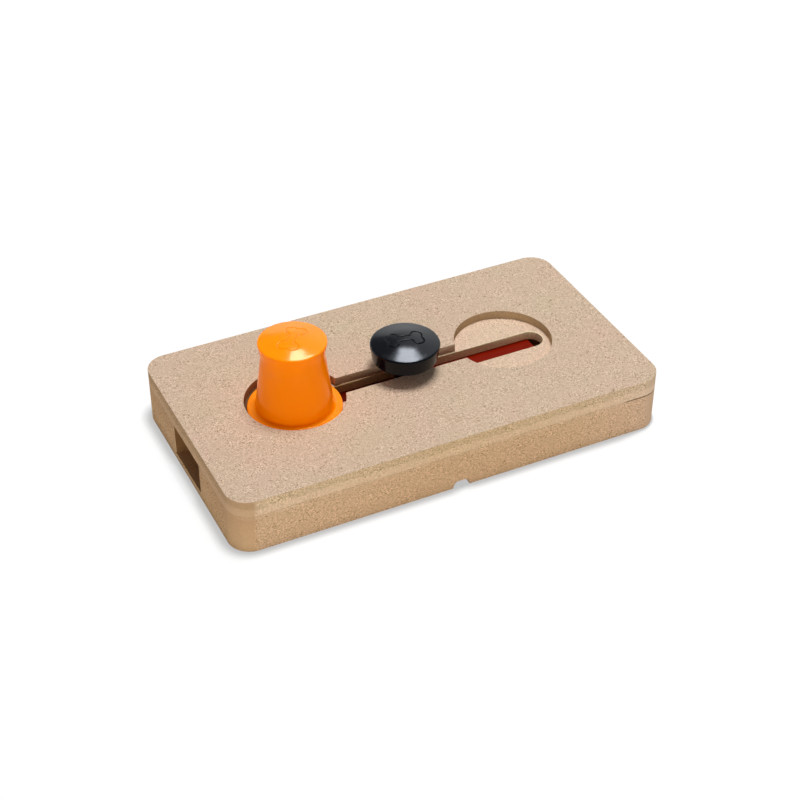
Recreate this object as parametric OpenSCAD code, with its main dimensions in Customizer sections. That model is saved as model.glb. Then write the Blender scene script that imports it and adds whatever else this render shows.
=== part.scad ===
// Wooden treat puzzle for a dog: a laminated board with a knob that slides a bar
// in a hidden channel, and a cup that stands over one of two round recesses.
// +X runs to the right along the board, +Y to the back and +Z up, and the origin
// is the middle of the underside. All sizes are millimetres.

/* [Board] */
// Length of the board, left to right
board_l = 220; // [200:1:260]
// Width of the board, front to back
board_w = 120; // [90:1:160]
// Radius of the upright corners
corner_r = 11; // [4:0.5:24]
// Thickness of the top sheet
top_t = 4.4; // [3:0.1:8]
// Thickness of the guide sheet under the top sheet
guide_t = 4.4; // [3:0.1:8]
// Height of the rails beside the channel
rail_h = 16.2; // [12:0.1:20]
// Thickness of the base sheet
base_t = 3.6; // [3:0.1:8]

/* [Recesses and slots] */
// Diameter of the two round holes in the top sheet
hole_d = 48; // [44:0.5:60]
// Distance between the centres of the holes
hole_spacing = 110.4; // [90:0.2:130]
// Width of the slot in the top sheet
top_slot_w = 12.4; // [10:0.1:16]
// Width of the slot in the guide sheet
guide_slot_w = 12.3; // [9:0.1:15]
// Distance from the end of the guide slot to the edge of the hole above it
slot_margin = 2.7; // [0.5:0.1:10]
// Distance that the holes and slot of the top sheet lie behind the board's middle line
top_cut_y = 0.4; // [-1:0.1:1]
// Distance that the slot of the guide sheet lies behind the board's middle line
guide_cut_y = -0.3; // [-1:0.1:1]

/* [Channel and slider bar] */
// Width of the channel between the rails
channel_w = 32; // [24:0.5:44]
// Length of the slider bar
bar_l = 142; // [120:1:160]
// Gap between the bar and each rail
bar_side_gap = 0.3; // [0.1:0.05:1]
// Gap between the bar and the guide sheet
bar_top_gap = 0.3; // [0.2:0.05:1]

/* [Knob] */
// Place of the knob, to the right of the middle of the board
knob_x = 1.6; // [-15:0.1:60]
// Diameter of the knob at its rim
knob_rim_d = 33.7; // [28:0.1:40]
// Diameter of the knob at its lower edge
knob_foot_d = 31.4; // [26:0.1:38]
// Height of the skirt, from the lower edge to the rim
knob_skirt_h = 8.2; // [6:0.1:14]
// Height of the dome above the rim
knob_dome_h = 2.6; // [1:0.1:5]
// Gap between the lower edge and the top of the board
knob_lift = 6.4; // [1:0.1:12]
// Wall of the knob
knob_wall = 2; // [1.5:0.1:3]
// Mean gap between the stem and the sides of the guide slot
stem_gap = 1.15; // [0.5:0.05:2]

/* [Knob screw] */
// Diameter of the screw
screw_d = 4; // [3:0.1:5]
// Length of the screw with its head
screw_l = 30; // [26:1:34]
// Diameter of the countersunk head
screw_head_d = 8; // [7:0.1:10]
// Depth of the head inside the underside of the bar
screw_sink = 0.5; // [0.2:0.1:2]
// Gap round the screw in its holes
screw_gap = 0.1; // [0.05:0.01:0.3]
// Length of each arm of the cross recess, end to end
drive_l = 4.4; // [3:0.1:6]
// Width of each arm of the cross recess
drive_w = 1; // [0.6:0.1:1.5]
// Depth of the cross recess
drive_depth = 1.6; // [1:0.1:2]

/* [Cup] */
// Gap all round between the cup's flange and a hole it stands in
cup_gap = 1.6; // [0.5:0.1:3]
// Gap left on the side where the loose cup leans to the edge of the hole
cup_rest_gap = 0.35; // [0.3:0.05:1]
// Direction in which the loose cup leans, from +X towards +Y
cup_rest_turn = 238; // [0:1:359]
// Thickness of the flange
cup_flange_t = 1.8; // [1:0.1:3]
// Diameter of the body where it leaves the flange
cup_foot_d = 37.1; // [34:0.1:40]
// Diameter of the waist, the narrowest place
cup_waist_d = 30.1; // [26:0.1:32]
// Diameter of the rim round the top
cup_rim_d = 32.4; // [30:0.1:36]
// Height from the underside of the flange to the rim
cup_h = 38.1; // [30:0.1:50]
// Height from the waist up to the rim
cup_waist_drop = 7.6; // [5:0.1:12]
// Radius of the hollow curve of the waist, seen from the side
cup_curve_r = 20; // [15:0.5:40]
// Radius of the rounded edge of the rim
cup_edge_r = 0.8; // [0.4:0.1:1.5]
// Height of the dome above the rim
cup_dome_h = 2; // [0.5:0.1:4]
// Wall of the cup
cup_wall = 1.8; // [1.2:0.1:2.5]

/* [Finger notch] */
// Width of the half-round notch at the underside
notch_w = 8.6; // [8:0.1:14]
// Depth of the notch from the front edge
notch_depth = 12; // [6:0.5:20]
// Place of the notch, to the right of the middle of the board
notch_x = 1.5; // [-60:0.1:60]

/* [Hidden] */
$fn = 96;
// Overshoot of a cut past the face that it opens
cut = 1;

// Heights of the faces in the stack, from the underside up
rail_top = base_t + rail_h;
guide_top = rail_top + guide_t;
board_top = guide_top + top_t;

// Centres and sizes that follow from the values above
hole_x = hole_spacing / 2;
rail_w = (board_w - channel_w) / 2;
guide_slot_l = hole_spacing + hole_d - 2 * slot_margin;
bar_w = channel_w - 2 * bar_side_gap;
bar_top = rail_top - bar_top_gap;
knob_z = board_top + knob_lift;
knob_roof = knob_skirt_h - knob_wall;
stem_r = guide_slot_w / 2 - stem_gap;
screw_z = base_t + screw_sink;
screw_head_h = (screw_head_d - screw_d) / 2;
pilot_end_gap = 1;

// The cup's outline, as radius and height above the floor of the recess
cup_flange_r = hole_d / 2 - cup_gap;
cup_lean = cup_gap - cup_rest_gap;
cup_place = [cup_lean * cos(cup_rest_turn) - hole_x, cup_lean * sin(cup_rest_turn) + top_cut_y, guide_top];
foot = [cup_foot_d / 2, cup_flange_t];
curve_centre = [cup_waist_d / 2 + cup_curve_r, cup_h - cup_waist_drop];
foot_to_curve = curve_centre - foot;
flank_turn = atan2(foot_to_curve[1], foot_to_curve[0]) + asin(cup_curve_r / norm(foot_to_curve));
flank = [cos(flank_turn), sin(flank_turn)];
flank_out = [flank[1], -flank[0]];
curve_start = curve_centre - cup_curve_r * flank_out;

// Radius of the sphere whose cap has this half width and height
function cap_radius(half_w, height) = (half_w * half_w + height * height) / (2 * height);

// Place where the flank, moved in by a wall, crosses a given height
function flank_at(wall, height) =
    let (start = curve_start - wall * flank_out)
    start + flank * (height - start[1]) / flank[1];

// Plan of the whole board, with its rounded corners
module board_plan() {
    square([board_l - 2 * corner_r, board_w], center = true);
    square([board_l, board_w - 2 * corner_r], center = true);
    for (x = [-1, 1], y = [-1, 1])
        translate([x * (board_l / 2 - corner_r), y * (board_w / 2 - corner_r)])
            circle(corner_r);
}

// Slot with round ends along X
module slot_plan(length, width) {
    square([length - width, width], center = true);
    for (x = [-1, 1])
        translate([x * (length - width) / 2, 0])
            circle(width / 2);
}

// Half of the outline of a shallow dome that stands on a given height
module cap_outline(half_w, base, height) {
    radius = cap_radius(half_w, height);
    intersection() {
        translate([0, base + height - radius])
            circle(radius);
        translate([0, base])
            square([half_w, height]);
    }
}

module top_sheet() {
    color("#d5bba4")
        translate([0, 0, guide_top])
            linear_extrude(top_t)
                difference() {
                    board_plan();
                    translate([0, top_cut_y]) {
                        for (x = [-1, 1])
                            translate([x * hole_x, 0])
                                circle(hole_d / 2);
                        square([hole_spacing, top_slot_w], center = true);
                    }
                }
}

module guide_sheet() {
    color("#e1c2a6")
        translate([0, 0, rail_top])
            linear_extrude(guide_t)
                difference() {
                    board_plan();
                    translate([0, guide_cut_y])
                        slot_plan(guide_slot_l, guide_slot_w);
                }
}

// One of the two rails: side is -1 for the front and 1 for the rear
module rail(side) {
    color("#c3a47c")
        translate([0, 0, base_t])
            linear_extrude(rail_h)
                intersection() {
                    board_plan();
                    translate([0, side * (board_w - rail_w) / 2])
                        square([board_l, rail_w], center = true);
                }
}

module front_rail() {
    rail(-1);
}

module rear_rail() {
    rail(1);
}

module base_sheet() {
    color("#b8986e")
        difference() {
            linear_extrude(base_t)
                board_plan();
            translate([notch_x, notch_depth - board_w / 2, 0])
                rotate([90, 0, 0])
                    cylinder(h = notch_depth + cut, d = notch_w);
        }
}

module slider_bar() {
    color("#a82a14")
        difference() {
            translate([knob_x - bar_l / 2, -bar_w / 2, base_t])
                cube([bar_l, bar_w, bar_top - base_t]);
            translate([knob_x, 0, 0]) {
                cylinder(h = bar_top + cut, d = screw_d + 2 * screw_gap);
                cylinder(h = screw_z, d = screw_head_d + 2 * screw_gap);
                translate([0, 0, screw_z])
                    cylinder(h = screw_head_h, d1 = screw_head_d + 2 * screw_gap, d2 = screw_d + 2 * screw_gap);
            }
        }
}

module knob_outline() {
    polygon([[0, 0], [knob_foot_d / 2, 0], [knob_rim_d / 2, knob_skirt_h], [0, knob_skirt_h]]);
    cap_outline(knob_rim_d / 2, knob_skirt_h, knob_dome_h);
}

module knob_hollow() {
    polygon([[0, -cut], [knob_foot_d / 2 - knob_wall, -cut],
             [knob_rim_d / 2 - knob_wall, knob_roof], [0, knob_roof]]);
}

module knob() {
    color("#26262a")
        difference() {
            translate([knob_x, 0, knob_z])
                union() {
                    rotate_extrude()
                        difference() {
                            knob_outline();
                            knob_hollow();
                        }
                    translate([0, 0, bar_top - knob_z])
                        cylinder(h = knob_z + knob_roof - bar_top, r = stem_r);
                }
            translate([knob_x, 0, 0])
                cylinder(h = screw_z + screw_l + pilot_end_gap, d = screw_d + 2 * screw_gap);
        }
}

module knob_screw() {
    color("#c4c6c8")
        translate([knob_x, 0, screw_z])
            difference() {
                union() {
                    cylinder(h = screw_head_h, d1 = screw_head_d, d2 = screw_d);
                    cylinder(h = screw_l, d = screw_d);
                }
                for (turn = [0, 90])
                    rotate(turn)
                        translate([-drive_l / 2, -drive_w / 2, -cut])
                            cube([drive_l, drive_w, drive_depth + cut]);
            }
}

// Side of the cup up to a given height, moved in by a wall
module cup_side(wall, top) {
    low = flank_at(wall, -cut);
    start = curve_start - wall * flank_out;
    half_rim = cup_rim_d / 2 - wall;
    difference() {
        polygon([[0, -cut], low, start, [half_rim, start[1]], [half_rim, top], [0, top]]);
        translate(curve_centre)
            circle(cup_curve_r + wall);
    }
}

module cup_outline() {
    square([cup_flange_r, cup_flange_t]);
    intersection() {
        cup_side(0, cup_h - cup_edge_r);
        square([cup_flange_r, cup_h]);
    }
    square([cup_rim_d / 2 - cup_edge_r, cup_h]);
    translate([cup_rim_d / 2 - cup_edge_r, cup_h - cup_edge_r])
        circle(cup_edge_r);
    cap_outline(cup_rim_d / 2 - cup_edge_r, cup_h, cup_dome_h);
}

module cup() {
    color("#f08010")
        translate(cup_place)
            rotate_extrude()
                difference() {
                    cup_outline();
                    cup_side(cup_wall, cup_h - cup_wall);
                }
}

top_sheet();
guide_sheet();
front_rail();
rear_rail();
base_sheet();
slider_bar();
knob();
knob_screw();
cup();
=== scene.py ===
"""Looks of a wooden treat puzzle for a dog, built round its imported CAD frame.

A laminated board of MDF carries a knob that slides a red bar in a hidden channel, and
a cup that stands over one of two round recesses. Lengths are metres in the frame's own
axes: +X to the right along the board, +Y to the back and +Z up.
"""

import logging
import math
from collections.abc import Callable, Sequence
from dataclasses import dataclass
from enum import Enum, IntEnum
from typing import Any

import bmesh
import bpy
from mathutils import Matrix, Vector


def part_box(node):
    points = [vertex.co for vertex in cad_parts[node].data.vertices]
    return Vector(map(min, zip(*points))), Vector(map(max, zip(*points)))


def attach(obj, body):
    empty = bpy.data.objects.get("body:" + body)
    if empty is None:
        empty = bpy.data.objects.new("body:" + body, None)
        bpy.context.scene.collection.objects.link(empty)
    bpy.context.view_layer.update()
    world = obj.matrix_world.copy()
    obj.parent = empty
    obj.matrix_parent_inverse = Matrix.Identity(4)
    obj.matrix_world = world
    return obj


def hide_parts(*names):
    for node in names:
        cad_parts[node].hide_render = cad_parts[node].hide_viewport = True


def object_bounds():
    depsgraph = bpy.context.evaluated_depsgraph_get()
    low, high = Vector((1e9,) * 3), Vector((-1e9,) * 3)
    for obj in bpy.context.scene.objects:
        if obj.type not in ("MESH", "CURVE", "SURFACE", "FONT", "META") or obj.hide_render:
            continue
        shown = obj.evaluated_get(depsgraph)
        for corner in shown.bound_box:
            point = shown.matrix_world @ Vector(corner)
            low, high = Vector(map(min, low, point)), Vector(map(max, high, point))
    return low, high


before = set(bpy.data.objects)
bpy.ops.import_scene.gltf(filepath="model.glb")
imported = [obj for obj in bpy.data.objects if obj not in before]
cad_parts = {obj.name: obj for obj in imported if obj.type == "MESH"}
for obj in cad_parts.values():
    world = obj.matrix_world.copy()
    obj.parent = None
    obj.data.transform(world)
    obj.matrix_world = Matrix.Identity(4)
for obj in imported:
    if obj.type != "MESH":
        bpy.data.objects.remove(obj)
cad_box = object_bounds()

log = logging.getLogger("treat_puzzle")

MM = 0.001
QUARTER = math.pi / 2
# Points closer than this are one point
WELD = 0.001 * MM
# Edges that turn by more than this are sharp
SHARP = math.radians(40)
# Facets of a rounded rim
RIM_STEPS = 8
# Sockets of a Mix node that is set to colour
MIX_A, MIX_B = 6, 7
# Where most of a noise lies
NOISE_SPAN = (0.3, 0.7)
# Shift of the grain that keeps level faces off the noise's own grid, where it fades
OFF_GRID = (0.37, 0.37, 0.37)
# Tint that changes nothing
WHITE = (1.0, 1.0, 1.0, 1.0)

Mesh = bmesh.types.BMesh
Node = bpy.types.Node
Pair = tuple[float, float]
Triple = tuple[float, float, float]
Inputs = Sequence[Any] | dict[Any, Any]


class Body(Enum):
    """Moving bodies of the frame that a piece can ride on."""

    BOARD = "board"
    SLIDER = "slider"
    CUP = "cup"


class Slot(Enum):
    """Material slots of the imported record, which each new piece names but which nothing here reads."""

    TOP_MDF = "top_mdf"
    GUIDE_MDF = "guide_mdf"
    CORE_MDF = "core_mdf"
    RED_LACQUER = "red_lacquer"
    BLACK_PLASTIC = "black_plastic"
    ORANGE_PLASTIC = "orange_plastic"


class Cut(IntEnum):
    """How a face of the board was cut, in the order of its finishes."""

    SANDED = 0
    SAWN = 1
    CHANNEL = 2
    HOLE = 3
    SLOT = 4
    GUIDE_SLOT = 5


class Plane(Enum):
    """Plane that an outline is drawn in, with the axis that a left turn goes round."""

    PLAN = (0.0, 0.0, 1.0)
    PROFILE = (0.0, -1.0, 0.0)

    def point(self, across: float, along: float) -> Vector:
        """Place a drawn point.

        Args:
            across: X in plan, or radius in profile.
            along: Y in plan, or height in profile.

        Returns:
            The point's place in the frame.
        """
        if self is Plane.PLAN:
            return Vector((across, along, 0.0))
        return Vector((across, 0.0, along))


class Outline:
    """Run of straight and round stretches, drawn on from one vertex to the next."""

    def __init__(self, plane: Plane, start: Sequence[float], mesh: Mesh | None = None) -> None:
        """Begin an outline.

        Args:
            plane: Plane to draw in.
            start: First point, in the plane's two directions.
            mesh: Mesh to draw into, or None for a new one.
        """
        self.plane = plane
        self.mesh = mesh or bmesh.new()
        self.at = Vector(start)
        self.verts = [self.mesh.verts.new(plane.point(*start))]

    def line(self, *points: Sequence[float]) -> "Outline":
        """Draw straight on through some points.

        Args:
            points: Points to pass, in the plane's two directions.

        Returns:
            This outline, to draw on.
        """
        for point in points:
            made = bmesh.ops.extrude_vert_indiv(self.mesh, verts=self.verts[-1:])["verts"]
            made[0].co = self.plane.point(*point)
            self.verts += made
            self.at = Vector(point)
        return self

    def arc(self, centre: Sequence[float], turn: float, steps: int) -> "Outline":
        """Draw on along an arc.

        Args:
            centre: Centre of the arc.
            turn: Angle to turn by, positive to the left.
            steps: Straight pieces that stand for the arc.

        Returns:
            This outline, to draw on.
        """
        for _ in range(steps):
            made = bmesh.ops.spin(
                self.mesh, geom=self.verts[-1:], cent=self.plane.point(*centre), axis=self.plane.value,
                angle=turn / steps, steps=1, use_merge=False, use_duplicate=False)["geom_last"]
            self.verts += [part for part in made if isinstance(part, bmesh.types.BMVert)]
        arm = self.at - Vector(centre)
        cos, sin = math.cos(turn), math.sin(turn)
        self.at = Vector(centre) + Vector((arm.x * cos - arm.y * sin, arm.x * sin + arm.y * cos))
        return self

    def corner(
        self, at: Sequence[float], towards: Sequence[float], radius: float, steps: int = 6
    ) -> "Outline":
        """Draw to a corner and round it off on the way to the next point.

        Args:
            at: The sharp corner.
            towards: Next point after the corner.
            radius: Radius of the rounding.
            steps: Straight pieces that stand for the rounding.

        Returns:
            This outline, to draw on.
        """
        before = (Vector(at) - self.at).normalized()
        after = (Vector(towards) - Vector(at)).normalized()
        turn = math.atan2(before.x * after.y - before.y * after.x, before.dot(after))
        self.line(Vector(at) - before * radius * math.tan(abs(turn) / 2))
        to_left = Vector((-before.y, before.x))
        return self.arc(self.at + to_left * math.copysign(radius, turn), turn, steps)

    def close(self) -> None:
        """Join the last point to the first, as one point where they meet."""
        if (self.verts[-1].co - self.verts[0].co).length < WELD:
            bmesh.ops.weld_verts(self.mesh, targetmap={self.verts.pop(): self.verts[0]})
        else:
            self.mesh.edges.new((self.verts[-1], self.verts[0]))

    def edges(self) -> list[bmesh.types.BMEdge]:
        """Edges of this outline alone."""
        own = set(self.verts)
        return [edge for edge in self.mesh.edges if own.issuperset(edge.verts)]

    def fill(self) -> Mesh:
        """Close the outline and fill it with one face.

        Returns:
            The mesh that the outline is drawn in.
        """
        self.close()
        bmesh.ops.edgeloop_fill(self.mesh, edges=self.edges())
        return self.mesh


def thicken(mesh: Mesh, low: float, high: float) -> None:
    """Make a solid of a flat plan at height 0.

    Args:
        mesh: Mesh with the filled plan.
        low: Height of the underside.
        high: Height of the top.
    """
    bmesh.ops.translate(mesh, verts=mesh.verts[:], vec=(0, 0, low))
    made = bmesh.ops.extrude_face_region(mesh, geom=mesh.faces[:])["geom"]
    raised = [part for part in made if isinstance(part, bmesh.types.BMVert)]
    bmesh.ops.translate(mesh, verts=raised, vec=(0, 0, high - low))
    bmesh.ops.recalc_face_normals(mesh, faces=mesh.faces[:])


def add_rear_half(mesh: Mesh) -> None:
    """Mirror the front half of a plan to the back."""
    whole = mesh.verts[:] + mesh.edges[:] + mesh.faces[:]
    bmesh.ops.mirror(mesh, geom=whole, axis="Y", merge_dist=WELD)


def turn_about(mesh: Mesh, profile: Outline, steps: int) -> None:
    """Spin a closed profile round the upright axis through the origin.

    Args:
        mesh: Mesh that holds the profile.
        profile: The closed profile.
        steps: Facets round the axis.
    """
    bmesh.ops.spin(
        mesh, geom=profile.verts + profile.edges(), cent=(0, 0, 0), axis=(0, 0, 1),
        angle=2 * math.pi, steps=steps, use_merge=True, use_duplicate=False)
    bmesh.ops.remove_doubles(mesh, verts=mesh.verts[:], dist=WELD)
    bmesh.ops.recalc_face_normals(mesh, faces=mesh.faces[:])


def break_edges(
    mesh: Mesh, wanted: Callable[[Vector], bool], size: float, segments: int = 3
) -> None:
    """Break the sharp edges whose two ends are both wanted.

    Args:
        mesh: Mesh to work on.
        wanted: Test of a vertex's place.
        size: Width of the break on each face.
        segments: Facets across the break.
    """
    sharp = [
        edge for edge in mesh.edges
        if edge.calc_face_angle(0.0) > SHARP and all(wanted(v.co) for v in edge.verts)]
    bmesh.ops.bevel(
        mesh, geom=sharp, offset=size, offset_type="OFFSET", segments=segments, profile=0.5,
        affect="EDGES", material=-1)


@dataclass(frozen=True)
class Piece:
    """A new mesh's name, and the CAD node that it stands for."""

    name: str
    node: str
    body: Body
    slot: Slot

    def make(self, mesh: Mesh, finishes: Sequence[bpy.types.Material]) -> None:
        """Turn a finished bmesh into a piece that rides on its body.

        Args:
            mesh: Mesh in its place in the frame, which is freed here.
            finishes: Materials, in the order of the faces' indices.
        """
        data = bpy.data.meshes.new(self.name)
        for face in mesh.faces:
            face.smooth = True
        mesh.to_mesh(data)
        mesh.free()
        data.set_sharp_from_angle(angle=SHARP)
        for finish in finishes:
            data.materials.append(finish)
        piece = bpy.data.objects.new(self.name, data)
        bpy.context.scene.collection.objects.link(piece)
        piece.modifiers.new("flat_faces_stay_flat", "WEIGHTED_NORMAL").keep_sharp = True
        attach(piece, self.body.value)
        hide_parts(self.node)
        faces = len(data.polygons)
        log.info("%s stands for %s on %s, %d faces", self.name, self.node, self.body.value, faces)


def linear(code: str) -> tuple[float, ...]:
    """Turn an sRGB colour to linear light.

    Args:
        code: Six hex digits.

    Returns:
        Red, green and blue in linear light, and an alpha of 1.
    """
    parts = [int(code[i:i + 2], 16) / 255 for i in (0, 2, 4)]
    return *(c / 12.92 if c <= 0.04045 else ((c + 0.055) / 1.055) ** 2.4 for c in parts), 1.0


def per_mm(size: float) -> float:
    """Scale of a pattern whose features are this many millimetres across."""
    return 1 / (size * MM)


class Graph:
    """Node tree of a finish, with the coordinates that its patterns read."""

    def __init__(self, tree: bpy.types.NodeTree, coordinates: str) -> None:
        """Empty a node tree and add its coordinates.

        Args:
            tree: Node tree to fill.
            coordinates: Which of the texture coordinates to read.
        """
        tree.nodes.clear()
        self.tree = tree
        self.place = self.add("TexCoord").outputs[coordinates]
        self.x, self.y, self.z = self.add("SeparateXYZ", [self.place]).outputs

    def add(self, kind: str, inputs: Inputs = (), **settings: Any) -> Node:
        """Add a node with its settings and links.

        Args:
            kind: Type of the node, without the prefix that all types share.
            inputs: What goes in, in the order of the sockets or by their names: a value, the socket
                that feeds it, or a node, which stands for its first output in use.
            settings: Properties of the node itself.

        Returns:
            The new node.
        """
        node = self.tree.nodes.new(f"ShaderNode{kind}")
        for name, value in settings.items():
            setattr(node, name, value)
        for key, value in inputs.items() if isinstance(inputs, dict) else enumerate(inputs):
            if isinstance(value, Node):
                value = next(socket for socket in value.outputs if socket.enabled)
            if isinstance(value, bpy.types.NodeSocket):
                self.tree.links.new(value, node.inputs[key])
            else:
                node.inputs[key].default_value = value
        return node


def new_material(name: str) -> tuple[bpy.types.Material, Graph]:
    """Make an empty node material.

    Args:
        name: Name of the real material and how it was made.

    Returns:
        The material and its node tree.
    """
    material = bpy.data.materials.new(name)
    material.use_nodes = True
    return material, Graph(material.node_tree, "Object")


class Fibreboard:
    """What every cut of medium-density fibreboard shares: fine pale and dark grains of wood fibre."""

    # Sizes of the patterns, where a noise starts and ends to show, and how strongly
    CLUMP_MM, CLUMP_SPAN, CLUMP_STRENGTH = 7.6, (0.35, 0.65), (0.6, 1.4)
    BARK_MM, BARK_SPAN = 1.17, (0.74, 0.8)
    GRAIN_CAST = (1.0, 1.17, 1.4)

    def add_grain(self, nodes: Graph, size_mm: Sequence[float], contrast: float) -> tuple[Node, Node]:
        """Add the speckle of the grains, stronger in clumps, with a few dark specks of bark.

        Args:
            nodes: Node tree of the material.
            size_mm: Size of a grain along X, Y and Z.
            contrast: How far a grain is paler or darker than the ground, as a share of its red.

        Returns:
            Tint that the ground is multiplied by, and height of the grains from 0 to 1.
        """
        lying = nodes.add("Mapping", {
            "Vector": nodes.place, "Scale": [per_mm(size) for size in size_mm], "Location": OFF_GRID})
        grain = nodes.add("TexNoise", {"Vector": lying, "Scale": 1.0, "Detail": 2.0, "Roughness": 0.55})
        swing = nodes.add("MapRange", [grain, *NOISE_SPAN, -contrast, contrast], clamp=False)
        clumps = nodes.add("TexNoise", {
            "Vector": nodes.place, "Scale": per_mm(self.CLUMP_MM), "Detail": 2.0})
        strength = nodes.add("MapRange", [clumps, *self.CLUMP_SPAN, *self.CLUMP_STRENGTH])
        bark = nodes.add("TexNoise", {
            "Vector": nodes.place, "Scale": per_mm(self.BARK_MM), "Detail": 0.0})
        specks = nodes.add("MapRange", [bark, *self.BARK_SPAN, 0.0, -contrast])
        uneven = nodes.add("Math", [swing, strength, specks], operation="MULTIPLY_ADD")
        tone = nodes.add("VectorMath", [uneven, self.GRAIN_CAST, WHITE[:3]], operation="MULTIPLY_ADD")
        return tone, grain

    def add_surface(self, nodes: Graph, colour: Node, height: Node, depth_mm: float) -> None:
        """Add the matt surface that all cuts share, and the material's output.

        Args:
            nodes: Node tree of the material.
            colour: Colour of the surface.
            height: Height of the grains from 0 to 1.
            depth_mm: Depth of the grains.
        """
        relief = nodes.add("Bump", {"Height": height, "Strength": 0.5, "Distance": depth_mm * MM})
        surface = nodes.add("BsdfPrincipled", {
            "Base Color": colour, "Roughness": 0.85, "IOR": 1.45, "Specular IOR Level": 0.09,
            "Normal": relief})
        nodes.add("OutputMaterial", [surface])


@dataclass(frozen=True)
class SandedMdf(Fibreboard):
    """Medium-density fibreboard, sanded through its pressed skin.

    It gives the eye a matt, even ground with a fine speckle, in faintly rosy and sandy patches,
    and can carry a ring of painted shade at the foot of a hole's wall, where the cup shades it.
    """

    name: str
    rosy: str
    sandy: str
    grain_mm: float = 0.55
    contrast: float = 0.3
    patch_mm: float = 26.0
    depth_mm: float = 0.04
    # Ring of painted shade at the foot of a hole's wall, where the cup's flange shades the floor
    shade_ring_at: Pair = (0.0, 0.0)
    shade_ring_r: float = 0.0
    shade_ring_w: float = 2.6 * MM
    shade_ring_tint: Triple = (0.2, 0.13, 0.08)

    def material(self) -> bpy.types.Material:
        """Make the material.

        Returns:
            The new material.
        """
        material, nodes = new_material(self.name)
        tone, height = self.add_grain(nodes, [self.grain_mm] * 3, self.contrast)
        if self.shade_ring_r:
            tone = self.add_shade_ring(nodes, tone)
        patches = nodes.add("TexNoise", {
            "Vector": nodes.place, "Scale": per_mm(self.patch_mm), "Detail": 3.0})
        share = nodes.add("MapRange", [patches, *NOISE_SPAN])
        ground = nodes.add("Mix", {
            0: share, MIX_A: linear(self.rosy), MIX_B: linear(self.sandy)}, data_type="RGBA")
        colour = nodes.add("VectorMath", [ground, tone], operation="MULTIPLY")
        self.add_surface(nodes, colour, height, self.depth_mm)
        return material

    def add_shade_ring(self, nodes: Graph, tone: Node) -> Node:
        """Darken the grain in a ring, where the wall of a hole stands on this face.

        Args:
            nodes: Node tree of the material.
            tone: Tint of the grain.

        Returns:
            Tint of the grain with the ring.
        """
        # The ring is painted shade, for the narrow gap between the cup's flange and the hole's wall
        to_centre = (-self.shade_ring_at[0], -self.shade_ring_at[1], 0.0)
        level = nodes.add("VectorMath", [nodes.place, (1.0, 1.0, 0.0), to_centre], operation="MULTIPLY_ADD")
        radius = nodes.add("VectorMath", [level], operation="LENGTH")
        off = nodes.add("Math", [radius, self.shade_ring_r], operation="SUBTRACT")
        away = nodes.add("Math", [off], operation="ABSOLUTE")
        shaded = nodes.add("MapRange", [away, self.shade_ring_w / 2, self.shade_ring_w * 0.7, 1.0, 0.0])
        dark = nodes.add("VectorMath", [tone, self.shade_ring_tint], operation="MULTIPLY")
        return nodes.add("Mix", {0: shaded, MIX_A: tone, MIX_B: dark}, data_type="RGBA")


@dataclass(frozen=True)
class RoutedMdf(Fibreboard):
    """Wall of a hole in the fibreboard, cut with a hot router bit.

    It gives the eye a browner tone than the sanded face, with faint level rings from the cutter,
    and painted shade that darkens it towards the left end, where the knob and the cup shade the walls.
    """

    name: str
    brown: str
    singed: str
    # Tint of painted shade at the left end, and the span over which it fades out
    left_wall_shade: Triple = (1.0, 1.0, 1.0)
    wall_shade_span: Pair = (-30 * MM, 76 * MM)
    grain_mm: Triple = (0.9, 0.9, 0.6)
    contrast: float = 0.12
    ring_mm: Triple = (18.0, 18.0, 1.1)
    depth_mm: float = 0.03

    def material(self) -> bpy.types.Material:
        """Make the material.

        Returns:
            The new material.
        """
        material, nodes = new_material(self.name)
        tone, height = self.add_grain(nodes, self.grain_mm, self.contrast)
        lying = nodes.add("Mapping", {
            "Vector": nodes.place, "Scale": [per_mm(size) for size in self.ring_mm]})
        rings = nodes.add("TexNoise", {"Vector": lying, "Scale": 1.0, "Detail": 2.0})
        colour = nodes.add("Mix", {
            0: rings, MIX_A: linear(self.brown), MIX_B: linear(self.singed)}, data_type="RGBA")
        # Painted shade: the walls darken towards the left end, where the knob and the cup shade them
        out_of_wall_shade = nodes.add("MapRange", [nodes.x, *self.wall_shade_span])
        painted_wall_shade = nodes.add("Mix", {0: out_of_wall_shade, MIX_A: (*self.left_wall_shade, 1.0), MIX_B: WHITE}, data_type="RGBA")
        for tint in (painted_wall_shade, tone):
            colour = nodes.add("VectorMath", [colour, tint], operation="MULTIPLY")
        self.add_surface(nodes, colour, height, self.depth_mm)
        return material


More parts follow.
